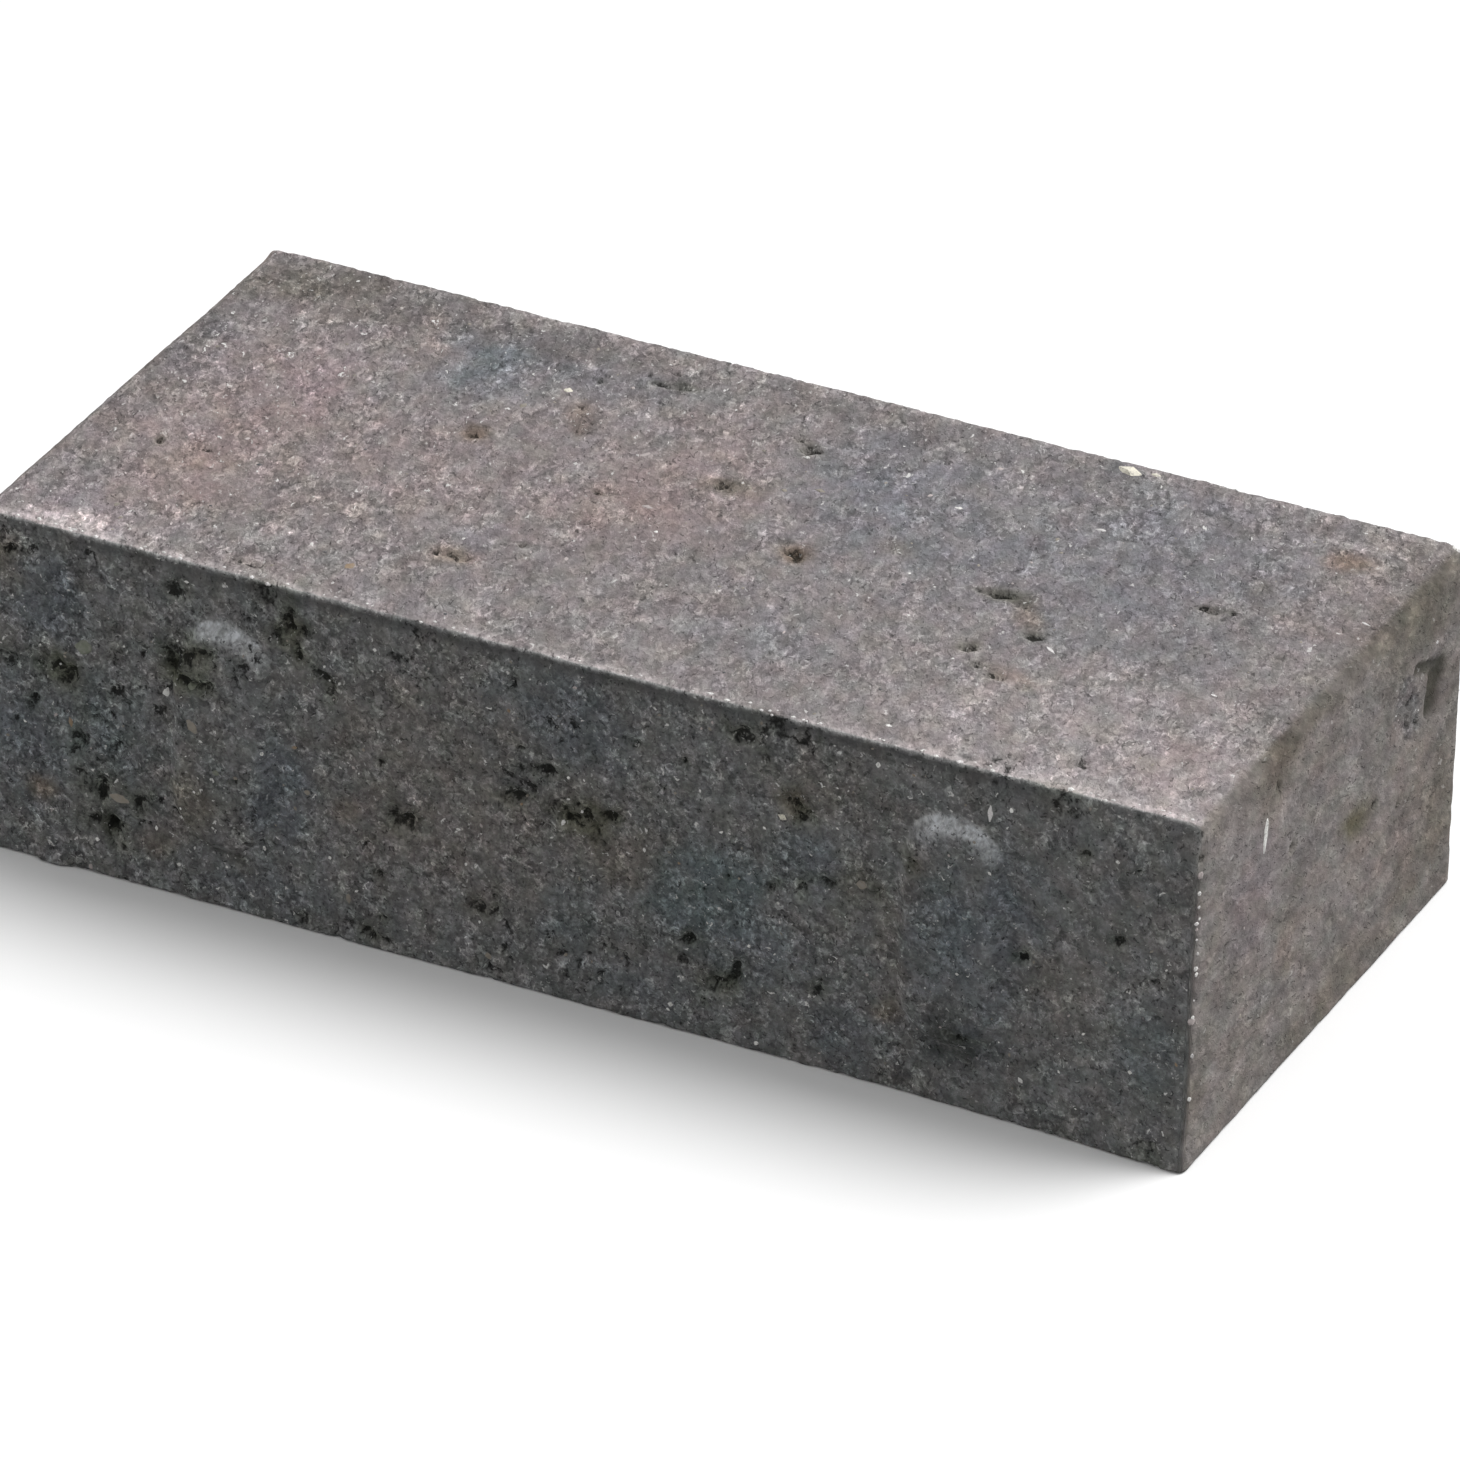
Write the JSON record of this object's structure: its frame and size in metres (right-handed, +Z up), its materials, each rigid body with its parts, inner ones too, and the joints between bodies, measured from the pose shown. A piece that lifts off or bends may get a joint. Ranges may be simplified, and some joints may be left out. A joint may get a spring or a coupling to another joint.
{
  "type": "concrete paving stone",
  "caption": "Rectangular pressed concrete paving stone with a softly rounded rim at both ends of its wearing face, tight arrises round its long sides and low round-ended spacer nibs on them.",
  "frame": {"origin": "middle of the bed face, level with the ground that the stone lies on", "axes": "+X along the stone, +Y from the front long side to the back one, +Z up to the wearing face"},
  "size_m": [0.21, 0.1036, 0.06],
  "materials": {
    "concrete": "rough pressed concrete, open pores on the sides, pale worn rim"
  },
  "bodies": {
    "root": {"paving_stone": "concrete"}
  },
  "joints": []
}
